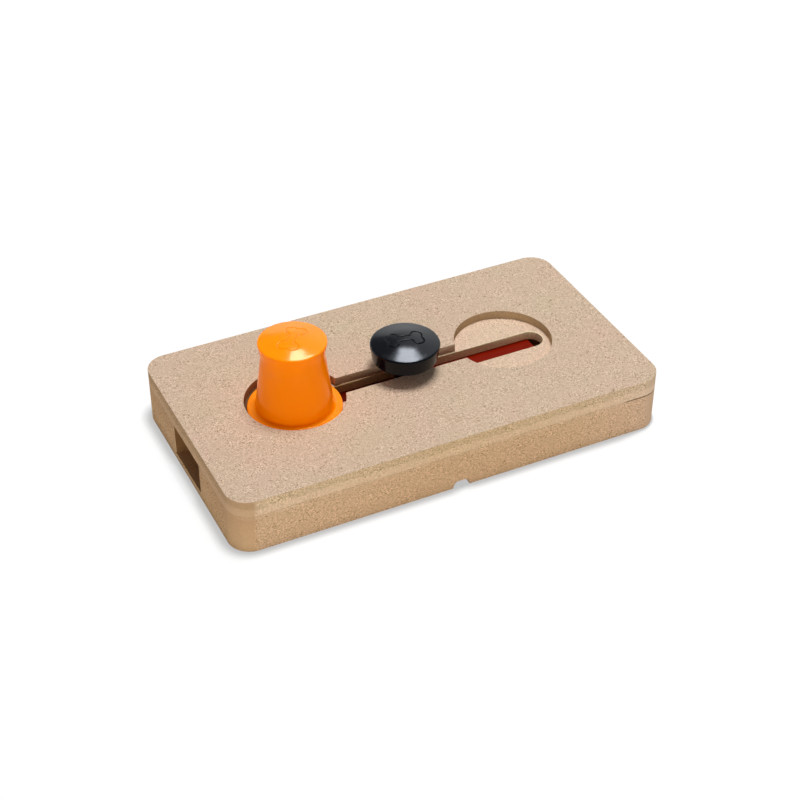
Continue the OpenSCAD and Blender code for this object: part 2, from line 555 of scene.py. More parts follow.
@dataclass(frozen=True)
class SawnMdf(Fibreboard):
    """Outer edge of the glued layers, sawn in one cut, then sanded round at the corners.

    It gives the eye a speckle of loose fibre in level bands, one for each layer, that blur into
    each other, a broken dark glue line, smooth corners, and a left end with painted shade that
    browns it above and nearly fades out at the foot.
    """

    name: str
    top: str
    guide: str
    core: str
    glue: str
    guide_low: float
    guide_high: float
    flat_x: float
    flat_y: float
    # Tints of painted shade on the left end, above and at the foot
    left_end_shade_above: Triple = (0.77, 0.68, 0.61)
    left_end_shade_below: Triple = (0.98, 0.95, 0.86)
    middle: Triple = (1.0, 0.99, 0.94)
    ends: Triple = (1.045, 1.055, 1.055)
    right_corner: Triple = (1.1, 1.14, 1.26)
    grain_mm: Triple = (0.82, 0.82, 0.66)
    contrast: float = 0.3
    depth_mm: float = 0.06
    wisp_mm: Triple = (14.0, 14.0, 1.5)
    drift: float = 2.2 * MM
    guide_blur: float = 1.6 * MM
    top_blur: float = 0.5 * MM
    corner_smooth: float = 0.8
    corner_slant: float = 0.12
    band_smooth: float = 0.45
    band_span: Pair = (1.2 * MM, 2.6 * MM)
    pale_span: Pair = (10 * MM, 75 * MM)
    palest_from_x: float = 65 * MM
    left_end_shade_from_z: float = 4 * MM
    glue_line: float = 0.42 * MM
    open_from_x: float = 70 * MM
    opening: float = 0.34
    break_mm: float = 9.0
    break_span: Pair = (0.66, 0.8)
    glue_share: float = 0.95

    def material(self) -> bpy.types.Material:
        """Make the material.

        Returns:
            The new material.
        """
        material, nodes = new_material(self.name)
        tone, height = self.add_grain(nodes, self.grain_mm, self.contrast)
        smooth = self.add_smoothness(nodes)
        even = nodes.add("Mix", {0: smooth, MIX_A: tone, MIX_B: WHITE}, data_type="RGBA")
        colour = self.add_bands(nodes)
        for tint in (even, self.add_left_end_shade(nodes), self.add_side_tones(nodes)):
            colour = nodes.add("VectorMath", [colour, tint], operation="MULTIPLY")
        line = self.add_glue_line(nodes)
        glued = nodes.add("Mix", {0: line, MIX_A: colour, MIX_B: linear(self.glue)}, data_type="RGBA")
        self.add_surface(nodes, glued, height, self.depth_mm)
        return material

    def add_bands(self, nodes: Graph) -> Node:
        """Colour the layers, with blurred and uneven borders.

        Args:
            nodes: Node tree of the material.

        Returns:
            Colour of the bands.
        """
        lying = nodes.add("Mapping", {
            "Vector": nodes.place, "Scale": [per_mm(size) for size in self.wisp_mm]})
        wisps = nodes.add("TexNoise", {"Vector": lying, "Scale": 1.0, "Detail": 3.0, "Roughness": 0.6})
        drift = nodes.add("MapRange", [wisps, 0.0, 1.0, -self.drift, self.drift])
        level = nodes.add("Math", [nodes.z, drift], operation="ADD")
        colour = linear(self.core)
        for band, border, blur in (
                (self.guide, self.guide_low, self.guide_blur), (self.top, self.guide_high, self.top_blur)):
            share = nodes.add(
                "MapRange", [level, border - blur, border + blur], interpolation_type="SMOOTHSTEP")
            colour = nodes.add("Mix", {0: share, MIX_A: colour, MIX_B: linear(band)}, data_type="RGBA")
        return colour

    def add_smoothness(self, nodes: Graph) -> Node:
        """Find the rounded corners, which were sanded, and the guide sheet's band, which is denser.

        Args:
            nodes: Node tree of the material.

        Returns:
            How smooth the edge is, and 0 away from the corners and the band.
        """
        rounds = []
        for axis, flat, blur in (
                (nodes.x, self.flat_x + 3.5 * MM, 0.3 * MM), (nodes.y, self.flat_y, 1.0 * MM)):
            away = nodes.add("Math", [axis], operation="ABSOLUTE")
            slanted = nodes.add("Math", [nodes.z, self.corner_slant, away], operation="MULTIPLY_ADD")
            rounds.append(nodes.add("MapRange", [slanted, flat - blur, flat + blur]))
        both = nodes.add("Math", rounds, operation="MULTIPLY")
        corner = nodes.add("Math", [both, self.corner_smooth], operation="MULTIPLY")
        off = nodes.add("Math", [nodes.z, (self.guide_low + self.guide_high) / 2], operation="SUBTRACT")
        from_middle = nodes.add("Math", [off], operation="ABSOLUTE")
        band = nodes.add("MapRange", [from_middle, *self.band_span, self.band_smooth, 0.0])
        return nodes.add("Math", [corner, band], operation="MAXIMUM")

    def add_side_tones(self, nodes: Graph) -> Node:
        """Tint the long sides, browner in the middle, pale at the ends and palest at the right corners.

        Args:
            nodes: Node tree of the material.

        Returns:
            Tint that the bands are multiplied by.
        """
        away = nodes.add("Math", [nodes.x], operation="ABSOLUTE")
        out = nodes.add("MapRange", [away, *self.pale_span])
        side = nodes.add("Mix", {
            0: out, MIX_A: (*self.middle, 1.0), MIX_B: (*self.ends, 1.0)}, data_type="RGBA")
        right = nodes.add("MapRange", [nodes.x, self.palest_from_x, self.flat_x + 8 * MM])
        return nodes.add("Mix", {0: right, MIX_A: side, MIX_B: (*self.right_corner, 1.0)}, data_type="RGBA")

    def add_left_end_shade(self, nodes: Graph) -> Node:
        """Tint the left end, from brown under the top face to pale at the foot.

        Args:
            nodes: Node tree of the material.

        Returns:
            Tint that the bands are multiplied by.
        """
        # Painted shade browns the left end above and nearly fades out towards its foot
        rise = nodes.add("MapRange", [nodes.z, self.left_end_shade_from_z, self.guide_high + 2 * MM])
        tint = nodes.add("Mix", {
            0: rise, MIX_A: (*self.left_end_shade_below, 1.0), MIX_B: (*self.left_end_shade_above, 1.0)}, data_type="RGBA")
        left = nodes.add("MapRange", [nodes.x, -self.flat_x, -self.flat_x - 2 * MM])
        return nodes.add("Mix", {0: left, MIX_A: WHITE, MIX_B: tint}, data_type="RGBA")

    def add_glue_line(self, nodes: Graph) -> Node:
        """Find the glue line under the guide sheet, open at the right end and broken elsewhere.

        Args:
            nodes: Node tree of the material.

        Returns:
            How much of the line shows, from 0 to 1.
        """
        off = nodes.add("Math", [nodes.z, self.guide_low], operation="SUBTRACT")
        away = nodes.add("Math", [off], operation="ABSOLUTE")
        line = nodes.add("MapRange", [away, self.glue_line / 2, self.glue_line, 1.0, 0.0])
        breaks = nodes.add("TexNoise", {
            "Vector": nodes.place, "Scale": per_mm(self.break_mm), "Detail": 3.0})
        opening = nodes.add("MapRange", [nodes.x, self.open_from_x, self.flat_x, 0.0, self.opening])
        pull = nodes.add("Math", [breaks, opening], operation="ADD")
        shown = nodes.add("MapRange", [pull, *self.break_span, 0.0, self.glue_share])
        return nodes.add("Math", [line, shown], operation="MULTIPLY")


@dataclass(frozen=True)
class RedLacquer:
    """Red nitro lacquer, sprayed on wood.

    It gives the eye an even satin red, with the faint ripple that a sprayed coat dries with, and
    painted shade that darkens it towards the left end, where the knob and the cup shade the slot.
    """

    name: str = "red lacquer, sprayed"
    red: str = "881800"
    deep: str = "7c1300"
    cloud_mm: float = 9.0
    ripple_mm: float = 1.6
    ripple_depth: float = 0.05 * MM
    # Painted shade towards the left end, and the span over which it fades out
    left_shade_level: float = 0.42
    left_shade_span: Pair = (-25 * MM, 20 * MM)

    def material(self) -> bpy.types.Material:
        """Make the material.

        Returns:
            The new material.
        """
        material, nodes = new_material(self.name)
        ripple = nodes.add("TexNoise", {
            "Vector": nodes.place, "Scale": per_mm(self.ripple_mm), "Detail": 1.0})
        cloud = nodes.add("TexNoise", {
            "Vector": nodes.place, "Scale": per_mm(self.cloud_mm), "Detail": 2.0})
        fresh = nodes.add("Mix", {
            0: cloud, MIX_A: linear(self.deep), MIX_B: linear(self.red)}, data_type="RGBA")
        # Painted shade: the bar darkens towards its left end, as the knob and the cup shade that part of
        # the slot
        painted_shade = nodes.add("MapRange", [nodes.x, *self.left_shade_span, self.left_shade_level])
        colour = nodes.add("VectorMath", [fresh, painted_shade], operation="MULTIPLY")
        relief = nodes.add("Bump", {"Height": ripple, "Strength": 0.25, "Distance": self.ripple_depth})
        surface = nodes.add("BsdfPrincipled", {
            "Base Color": colour, "Roughness": 0.5, "IOR": 1.49, "Specular IOR Level": 0.03,
            "Normal": relief})
        nodes.add("OutputMaterial", [surface])
        return material


@dataclass(frozen=True)
class MouldedPlastic:
    """Thermoplastic, injection moulded in a polished mould.

    It gives the eye a clear gloss that is broken only by the mould's faint polish marks and by
    hairline handling scuffs, a paler tone painted on the upward faces as light from above, and in a
    thin wall a painted glow that stands for light coming through it.
    """

    name: str
    colour: str
    cloudy: str
    # Paler tone of painted light on the upward faces
    top_light: str
    roughness: Pair
    specular: float
    gleam: Triple
    # Colour of a painted glow, for light that comes through a thin wall
    glow: str = "000000"
    scatter: float = 0.0
    scatter_mm: float = 1.0
    scatter_reach: Triple = (1.0, 0.35, 0.1)
    cloud_mm: float = 14.0
    scuff_mm: float = 3.0
    polish_mm: float = 0.5
    polish_depth: float = 0.02 * MM
    top_light_span: Pair = (0.3, 0.95)

    def material(self) -> bpy.types.Material:
        """Make the material.

        Returns:
            The new material.
        """
        material, nodes = new_material(self.name)
        cloud = nodes.add("TexNoise", {
            "Vector": nodes.place, "Scale": per_mm(self.cloud_mm), "Detail": 2.0})
        fresh = nodes.add("Mix", {
            0: cloud, MIX_A: linear(self.colour), MIX_B: linear(self.cloudy)}, data_type="RGBA")
        facing = nodes.add("SeparateXYZ", [nodes.add("TexCoord").outputs["Normal"]])
        # Painted light: upward faces take a paler tone, as light from above
        top_lit = nodes.add("MapRange", [facing.outputs["Z"], *self.top_light_span])
        colour = nodes.add("Mix", {0: top_lit, MIX_A: fresh, MIX_B: linear(self.top_light)}, data_type="RGBA")
        scuffs = nodes.add("TexNoise", {
            "Vector": nodes.place, "Scale": per_mm(self.scuff_mm), "Detail": 4.0, "Roughness": 0.7})
        gloss = nodes.add("MapRange", [scuffs, *NOISE_SPAN, *self.roughness])
        polish = nodes.add("TexNoise", {
            "Vector": nodes.place, "Scale": per_mm(self.polish_mm), "Detail": 1.0})
        relief = nodes.add("Bump", {"Height": polish, "Strength": 0.08, "Distance": self.polish_depth})
        # The emission is a painted glow, standing in for light that comes through a thin wall
        surface = nodes.add("BsdfPrincipled", {
            "Base Color": colour, "Roughness": gloss, "IOR": 1.5, "Specular IOR Level": self.specular,
            "Specular Tint": (*self.gleam, 1.0), "Subsurface Weight": self.scatter,
            "Subsurface Radius": self.scatter_reach, "Subsurface Scale": self.scatter_mm * MM,
            "Emission Color": linear(self.glow), "Emission Strength": 1.0, "Normal": relief})
        nodes.add("OutputMaterial", [surface])
        return material


@dataclass(frozen=True)
class ZincPlate:
    """Zinc plate, barrel plated on a steel screw.

    It gives the eye a pale, faintly blue metal with cloudy patches from the plating bath.
    """

    name: str = "zinc plate, barrel plated"
    bright: str = "c9ced4"
    dull: str = "a9aeb4"
    cloud_mm: float = 1.2
    roughness: Pair = (0.25, 0.45)

    def material(self) -> bpy.types.Material:
        """Make the material.

        Returns:
            The new material.
        """
        material, nodes = new_material(self.name)
        cloud = nodes.add("TexNoise", {
            "Vector": nodes.place, "Scale": per_mm(self.cloud_mm), "Detail": 3.0})
        colour = nodes.add("Mix", {
            0: cloud, MIX_A: linear(self.dull), MIX_B: linear(self.bright)}, data_type="RGBA")
        gloss = nodes.add("MapRange", [cloud, 0.0, 1.0, *self.roughness])
        surface = nodes.add("BsdfPrincipled", {"Base Color": colour, "Metallic": 1.0, "Roughness": gloss})
        nodes.add("OutputMaterial", [surface])
        return material


@dataclass
class Board:
    """The laminated board: two sheets over two rails and a base sheet."""

    corner_r: float = 11 * MM
    hole_r: float = 24 * MM
    hole_spacing: float = 110.4 * MM
    top_slot_w: float = 12.4 * MM
    guide_slot_w: float = 12.3 * MM
    slot_margin: float = 2.7 * MM
    top_cut_y: float = 0.4 * MM
    guide_cut_y: float = -0.3 * MM
    notch_r: float = 4.3 * MM
    notch_depth: float = 12 * MM
    notch_x: float = 1.5 * MM
    notch_cuts: int = 7
    arris: float = 0.2 * MM
    slot_arris: float = 0.35 * MM
    seam_arris: float = 0.04 * MM
    # Place and size of the ring of painted shade round the left hole, where the cup shades the recess floor
    shade_ring_x: float = 0.8 * MM
    shade_ring_y: float = -0.5 * MM
    shade_ring_out: float = 0.5 * MM
    corner_steps: int = 20
    hole_steps: int = 60

    def __post_init__(self) -> None:
        """Take the outer sizes from the frame, and make the finishes that the layers share."""
        low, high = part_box("top_sheet")
        self.half_l = (high.x - low.x) / 2
        self.half_w = (high.y - low.y) / 2
        self.channel_half_w = -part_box("front_rail")[1].y
        self.hole_x = self.hole_spacing / 2
        self.guide_low, self.guide_high = (corner.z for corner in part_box("guide_sheet"))
        self.edge = SawnMdf(
            "mdf, sawn edge", top="d5b690", guide="e2c29e", core="d4af89", glue="6b4a30",
            guide_low=self.guide_low, guide_high=self.guide_high,
            flat_x=self.half_l - self.corner_r, flat_y=self.half_w - self.corner_r).material()
        # Each wall below is painted darker towards the left end, as shade from the knob and the cup
        self.hole = RoutedMdf(
            "mdf, drilled hole", brown="c8ac88", singed="ba9b73", left_wall_shade=(0.46, 0.41, 0.36)).material()
        # The slot's and the guide slot's walls are paler copies of the routed wall, with painted light
        self.slot = RoutedMdf(
            "mdf, routed slot", brown="f4d8bc", singed="ecc9a2", left_wall_shade=(0.47, 0.42, 0.36)).material()
        self.guide_slot = RoutedMdf(
            "mdf, routed guide slot", brown="fff6d2", singed="fdeabf",
            left_wall_shade=(0.46, 0.38, 0.25)).material()
        # The channel's finishes are darker copies, with painted shade inside the closed channel
        self.channel = RoutedMdf("mdf, milled channel", brown="966c42", singed="85603a").material()
        self.channel_floor = RoutedMdf(
            "mdf, milled channel floor", brown="c8976a", singed="b5875c").material()

    def half_plan(self, mesh: Mesh | None = None, start_y: float = 0.0, notched: bool = False) -> Outline:
        """Draw the board's outer edge round its front half.

        Args:
            mesh: Mesh to draw into, or None for a new one.
            start_y: Where the edge starts and ends at the board's two ends.
            notched: Whether the front edge has the finger notch.

        Returns:
            The outline, open from its right end to its left end.
        """
        x, y, r = self.half_l, self.half_w, self.corner_r
        outline = Outline(Plane.PLAN, (-x, start_y), mesh)
        outline.line((-x, r - y)).arc((r - x, r - y), QUARTER, self.corner_steps)
        if notched:
            left, right = self.notch_x - self.notch_r, self.notch_x + self.notch_r
            inner = self.notch_depth - y
            outline.line((left, -y), (left, inner), (right, inner), (right, -y))
        outline.line((x - r, -y)).arc((x - r, r - y), QUARTER, self.corner_steps)
        return outline.line((x, start_y))

    def inside(self, at: Vector) -> bool:
        """Whether a place is well inside the board's outer edge."""
        return abs(at.x) < self.half_l - self.corner_r and abs(at.y) < self.half_w - self.corner_r

    def whole_plan(self, front: Outline, cut_y: float) -> Mesh:
        """Fill the front half of a sheet, add the rear half, and set its cut-outs out of line.

        Args:
            front: Open outline of the front half, with half of its cut-outs.
            cut_y: How far behind the board's middle line the cut-outs lie.

        Returns:
            Mesh with the sheet's whole plan.
        """
        mesh = front.fill()
        add_rear_half(mesh)
        cut = [vert for vert in mesh.verts if self.inside(vert.co)]
        bmesh.ops.translate(mesh, verts=cut, vec=(0, cut_y, 0))
        return mesh

    def cut_of(self, face: bmesh.types.BMFace) -> Cut:
        """Tell how a face was cut from its place and the way it points.

        Args:
            face: A face of one of the layers.

        Returns:
            The cut, which is also the index of the face's finish.
        """
        at, up = face.calc_center_median(), face.normal.z
        if self.inside(at) and self.guide_low + WELD < at.z < self.guide_high - WELD:
            return Cut.GUIDE_SLOT
        if up > 0.6 or up < -0.8:
            return Cut.SANDED if at.z < MM or up > 0 and at.z > self.guide_low else Cut.CHANNEL
        if not self.inside(at):
            return Cut.SAWN
        if at.z < self.guide_low:
            return Cut.CHANNEL
        return Cut.SLOT if abs(at.x) < self.hole_x - self.hole_r + MM else Cut.HOLE

    def dress(self, piece: Piece, mesh: Mesh, face: SandedMdf, channel: bpy.types.Material) -> None:
        """Give a layer its sanded faces, sawn edges, routed walls and milled channel.

        Args:
            piece: The layer's name and place in the frame.
            mesh: The layer's mesh.
            face: Finish of the level faces.
            channel: Finish of the faces in the channel.
        """
        mesh.normal_update()
        for part in mesh.faces:
            part.material_index = self.cut_of(part)
        piece.make(
            mesh, [face.material(), self.edge, channel, self.hole, self.slot, self.guide_slot])

    def build_top_sheet(self) -> None:
        """Make the top sheet, with its two round holes and the slot that joins them."""
        low, high = (corner.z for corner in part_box("top_sheet"))
        half_slot = self.top_slot_w / 2
        sweep = math.asin(half_slot / self.hole_r) - math.pi
        mouth_x = self.hole_x - math.sqrt(self.hole_r ** 2 - half_slot ** 2)
        outline = self.half_plan()
        outline.line((self.hole_x + self.hole_r, 0)).arc((self.hole_x, 0), sweep, self.hole_steps)
        outline.line((-mouth_x, -half_slot)).arc((-self.hole_x, 0), sweep, self.hole_steps)
        mesh = self.whole_plan(outline, self.top_cut_y)
        thicken(mesh, low, high)
        break_edges(mesh, lambda at: at.z > high - WELD, self.arris)
        self.dress(
            Piece("top_sheet_sanded", "top_sheet", Body.BOARD, Slot.TOP_MDF), mesh,
            SandedMdf("mdf, sanded top", rosy="d8bba4", sandy="d3bda2"), self.channel)

    def build_guide_sheet(self) -> None:
        """Make the guide sheet, the floor of the recesses, with its long slot."""
        low, high = (corner.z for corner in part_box("guide_sheet"))
        half_slot = self.guide_slot_w / 2
        end_x = self.hole_x + self.hole_r - self.slot_margin - half_slot
        outline = self.half_plan()
        outline.line((end_x + half_slot, 0)).arc((end_x, 0), -QUARTER, self.hole_steps // 4)
        outline.line((-end_x, -half_slot)).arc((-end_x, 0), -QUARTER, self.hole_steps // 4)
        mesh = self.whole_plan(outline, self.guide_cut_y)
        thicken(mesh, low, high)
        break_edges(mesh, lambda at: at.z > high - WELD and self.inside(at), self.slot_arris)
        break_edges(mesh, lambda at: at.z < low + WELD, self.seam_arris, 1)
        # The recess floor carries a ring of painted shade round the left hole, where the cup shades it
        self.dress(
            Piece("guide_sheet_sanded", "guide_sheet", Body.BOARD, Slot.GUIDE_MDF), mesh,
            SandedMdf(
                "mdf, sanded recess floor", rosy="e8cab2", sandy="e4c9ad", contrast=0.24,
                shade_ring_at=(self.shade_ring_x - self.hole_x, self.top_cut_y + self.shade_ring_y),
                shade_ring_r=self.hole_r + self.shade_ring_out),
            self.channel)

    def build_rail(self, node: str, turn: float) -> None:
        """Make one of the two rails beside the channel.

        Args:
            node: The rail's CAD node.
            turn: Angle from the front rail's place, round the board's middle.
        """
        low, high = (corner.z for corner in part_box(node))
        mesh = self.half_plan(start_y=-self.channel_half_w).fill()
        thicken(mesh, low, high)
        break_edges(mesh, lambda at: at.z > high - WELD, self.seam_arris, 1)
        bmesh.ops.rotate(mesh, verts=mesh.verts[:], cent=(0, 0, 0), matrix=Matrix.Rotation(turn, 3, "Z"))
        self.dress(
            Piece(f"{node}_sawn", node, Body.BOARD, Slot.CORE_MDF), mesh,
            SandedMdf(f"mdf, sanded {node.replace('_', ' ')}", rosy="cfae8c", sandy="cbae88"), self.channel)

    def build_base_sheet(self) -> None:
        """Make the base sheet, with the half-round finger notch in its front edge."""
        low, high = (corner.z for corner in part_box("base_sheet"))
        mesh = self.half_plan().fill()
        bmesh.ops.rotate(mesh, verts=mesh.verts[:], cent=(0, 0, 0), matrix=Matrix.Rotation(math.pi, 3, "Z"))
        self.half_plan(mesh, notched=True).fill()
        bmesh.ops.remove_doubles(mesh, verts=mesh.verts[:], dist=WELD)
        thicken(mesh, low, high)
        self.round_notch(mesh)
        break_edges(mesh, lambda at: at.z < low + WELD, self.arris)
        self.dress(
            Piece("base_sheet_sanded", "base_sheet", Body.BOARD, Slot.CORE_MDF), mesh,
            SandedMdf("mdf, sanded underside", rosy="cfae8c", sandy="cbae88"), self.channel_floor)

    def round_notch(self, mesh: Mesh) -> None:
        """Curve the notch's upright sides to the round of the cutter.

        Args:
            mesh: The base sheet, with a square notch.
        """
        inner = self.notch_depth - self.half_w

        def beside(at: Vector) -> bool:
            """Whether a place is on the notch's sides."""
            return abs(at.x - self.notch_x) < self.notch_r + WELD and at.y < inner + WELD

        uprights = [
            edge for edge in mesh.edges
            if all(beside(v.co) for v in edge.verts) and abs(edge.verts[0].co.z - edge.verts[1].co.z) > MM]
        bmesh.ops.subdivide_edges(mesh, edges=uprights, cuts=self.notch_cuts, use_grid_fill=True)
        for vert in mesh.verts:
            if beside(vert.co):
                half_w = math.sqrt(self.notch_r ** 2 - vert.co.z ** 2)
                vert.co.x = self.notch_x + math.copysign(half_w, vert.co.x - self.notch_x)

    def build(self) -> None:
        """Make every layer of the board, from the top down."""
        self.build_top_sheet()
        self.build_guide_sheet()
        self.build_rail("front_rail", 0.0)
        self.build_rail("rear_rail", math.pi)
        self.build_base_sheet()


@dataclass(frozen=True)
class BoneMark:
    """Outline of a plain dog bone, engraved in a domed top."""

    half_shaft: float = 6 * MM
    shaft_r: float = 1.8 * MM
    knuckle_r: float = 2.7 * MM
    knuckle_y: float = 2.3 * MM
    blend: float = 1 * MM
    groove_w: float = 1 * MM
    groove_depth: float = 0.6 * MM
    turn: float = math.radians(-12)

    def reach(self) -> float:
        """Radius that the whole mark lies within."""
        return math.hypot(self.half_shaft, self.knuckle_y) + self.knuckle_r + self.groove_w

    def distance(self, across: float, along: float) -> float:
        """Distance of a point from the bone's outline.

        Args:
            across: X of the point from the middle of the bone.
            along: Y of the point from the middle of the bone.

        Returns:
            Distance, which is negative inside the bone.
        """
        x = abs(across * math.cos(self.turn) + along * math.sin(self.turn))
        y = abs(along * math.cos(self.turn) - across * math.sin(self.turn))
        shaft = math.hypot(max(x - self.half_shaft, 0.0), y) - self.shaft_r
        knuckle = math.hypot(x - self.half_shaft, y - self.knuckle_y) - self.knuckle_r
        share = max(self.blend - abs(shaft - knuckle), 0.0) / self.blend
        return min(shaft, knuckle) - share * share * self.blend / 4

    def engrave(self, mesh: Mesh, above: float) -> None:
        """Press the groove into a top that is centred on the upright axis.

        Args:
            mesh: Mesh of the moulding.
            above: Height that every point of the top is above.
        """
        for vert in mesh.verts:
            if vert.co.z > above and math.hypot(vert.co.x, vert.co.y) < self.reach():
                off = abs(self.distance(vert.co.x, vert.co.y)) / (self.groove_w / 2)
                if off < 1:
                    vert.co.z -= self.groove_depth * (1 + math.cos(math.pi * off)) / 2


@dataclass(frozen=True)
class Dome:
    """Shallow round top, a cone outside that rounds over inside, with a mark in its middle."""

    half_w: float
    apex: float
    height: float
    mark: BoneMark
    cone_steps: int = 6
    round_steps: int = 96

    @property
    def rim(self) -> Vector:
        """Outermost point of the dome."""
        return Vector((self.half_w, self.apex - self.height))

    def slope(self, start: Vector) -> float:
        """Find the slope of the cone that rounds over to the apex from the edge of the mark.

        Args:
            start: Outer end of the cone, as radius and height.

        Returns:
            Angle of the cone from the level.
        """
        half_tan = 0.0
        for _ in range(8):
            half_tan = (self.apex - start.y) / (
                2 * (start.x - self.mark.reach()) / (1 - half_tan ** 2) + self.mark.reach())
        return 2 * math.atan(half_tan)

    def over_rim(self) -> Vector:
        """Point a little way in from the rim, straight along the dome's slope there."""
        slope = self.slope(self.rim)
        return self.rim + Vector((-math.cos(slope), math.sin(slope))) * MM

    def draw(self, profile: Outline) -> Outline:
        """Draw the dome from the rim in to the axis, with fine steps under the mark.

        Args:
            profile: Profile that has come over the rim.

        Returns:
            The profile, to draw on.
        """
        slope = self.slope(profile.at)
        radius = self.mark.reach() / math.sin(slope)
        centre = Vector((0, self.apex - radius))
        inner = centre + Vector((math.sin(slope), math.cos(slope))) * radius
        outer, steps = profile.at, self.cone_steps
        profile.line(*(outer.lerp(inner, step / steps) for step in range(1, steps + 1)))
        return profile.arc(centre, slope, self.round_steps)


@dataclass
class Slider:
    """The red bar in the channel, the knob on top of it and the screw that joins them."""

    rim_r: float = 16.85 * MM
    foot_r: float = 15.7 * MM
    skirt_h: float = 8.2 * MM
    dome_h: float = 2.6 * MM
    wall: float = 2 * MM
    stem_r: float = 5 * MM
    rim_round: float = 0.9 * MM
    foot_round: float = 0.6 * MM
    root_round: float = 1 * MM
    screw_hole_r: float = 2.1 * MM
    screw_head_hole_r: float = 4.1 * MM
    pilot_end_gap: float = 1 * MM
    bar_arris: float = 0.5 * MM
    screw_hole_steps: int = 24
    facets: int = 320
    mark: BoneMark = BoneMark()

    def build_bar(self) -> None:
        """Make the bar, drilled and countersunk for the knob's screw."""
        low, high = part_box("slider_bar")
        half_l, half_w = (high.x - low.x) / 2, (high.y - low.y) / 2
        outline = Outline(Plane.PLAN, (-half_l, 0)).line((-half_l, -half_w), (half_l, -half_w), (half_l, 0))
        outline.line((self.screw_hole_r, 0)).arc((0, 0), -math.pi, self.screw_hole_steps)
        mesh = outline.fill()
        add_rear_half(mesh)
        thicken(mesh, low.z, high.z)
        break_edges(mesh, lambda at: abs(at.x) > half_l - WELD or abs(at.y) > half_w - WELD, self.bar_arris)
        self.countersink(mesh, low.z)
        bmesh.ops.translate(mesh, verts=mesh.verts[:], vec=((low.x + high.x) / 2, 0, 0))
        piece = Piece("slider_bar_lacquered", "slider_bar", Body.SLIDER, Slot.RED_LACQUER)
        piece.make(mesh, [RedLacquer().material()])

    def countersink(self, mesh: Mesh, low: float) -> None:
        """Widen the lower end of the screw's hole for its head.

        Args:
            mesh: The bar, with its hole on the upright axis.
            low: Height of the bar's underside.
        """
        def at_hole(vert: bmesh.types.BMVert) -> bool:
            """Whether a vertex is on the wall of the hole."""
            return math.hypot(vert.co.x, vert.co.y) < self.screw_hole_r + WELD

        walls = [
            edge for edge in mesh.edges
            if all(at_hole(v) for v in edge.verts) and abs(edge.verts[0].co.z - edge.verts[1].co.z) > MM]
        bmesh.ops.subdivide_edges(mesh, edges=walls, cuts=2, use_grid_fill=True)
        rings = sorted({round(v.co.z, 6) for v in mesh.verts if at_hole(v)})
        head_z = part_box("knob_screw")[0].z
        cone_z = head_z + self.screw_head_hole_r - self.screw_hole_r
        wide = self.screw_head_hole_r / self.screw_hole_r
        for ring, height, widen in zip(rings, (low, head_z, cone_z), (wide, wide, 1.0)):
            verts = [v for v in mesh.verts if at_hole(v) and abs(v.co.z - ring) < WELD]
            bmesh.ops.scale(mesh, verts=verts, vec=(widen, widen, 1))
            bmesh.ops.translate(mesh, verts=verts, vec=(0, 0, height - ring))

    def build_knob(self) -> None:
        """Make the domed knob, hollow below, with its stem and its pilot hole."""
        low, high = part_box("knob")
        dome = Dome(self.rim_r, high.z, self.dome_h, self.mark)
        foot_z = dome.rim.y - self.skirt_h
        roof_z = dome.rim.y - self.wall
        pilot_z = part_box("knob_screw")[1].z + self.pilot_end_gap
        inner_r = self.rim_r - self.wall
        inner_foot_r = self.foot_r - self.wall
        profile = Outline(Plane.PROFILE, (0, pilot_z))
        profile.line((self.screw_hole_r, pilot_z), (self.screw_hole_r, low.z), (self.stem_r, low.z))
        profile.corner((self.stem_r, roof_z), (inner_r, roof_z), self.root_round)
        profile.corner((inner_r, roof_z), (inner_foot_r, foot_z), self.root_round)
        profile.corner((inner_foot_r, foot_z), (self.foot_r, foot_z), self.foot_round)
        profile.corner((self.foot_r, foot_z), dome.rim, self.foot_round)
        profile.corner(dome.rim, dome.over_rim(), self.rim_round, RIM_STEPS)
        dome.draw(profile).close()
        turn_about(profile.mesh, profile, self.facets)
        self.mark.engrave(profile.mesh, dome.rim.y)
        bmesh.ops.translate(profile.mesh, verts=profile.mesh.verts[:], vec=((low.x + high.x) / 2, 0, 0))
        piece = Piece("knob_moulded", "knob", Body.SLIDER, Slot.BLACK_PLASTIC)
        # The third colour is painted light, a paler tone on the upward faces
        black = MouldedPlastic(
            "black abs, moulded", "07090e", "0a0c12", "0a0d13", (0.13, 0.2), 0.18, (0.86, 0.93, 1.0))
        piece.make(profile.mesh, [black.material()])

    def build(self) -> None:
        """Make the bar and the knob, and plate the screw."""
        self.build_bar()
        self.build_knob()
        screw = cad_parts["knob_screw"]
        screw.data.materials.clear()
        screw.data.materials.append(ZincPlate().material())
        log.info("knob_screw keeps its CAD shape")


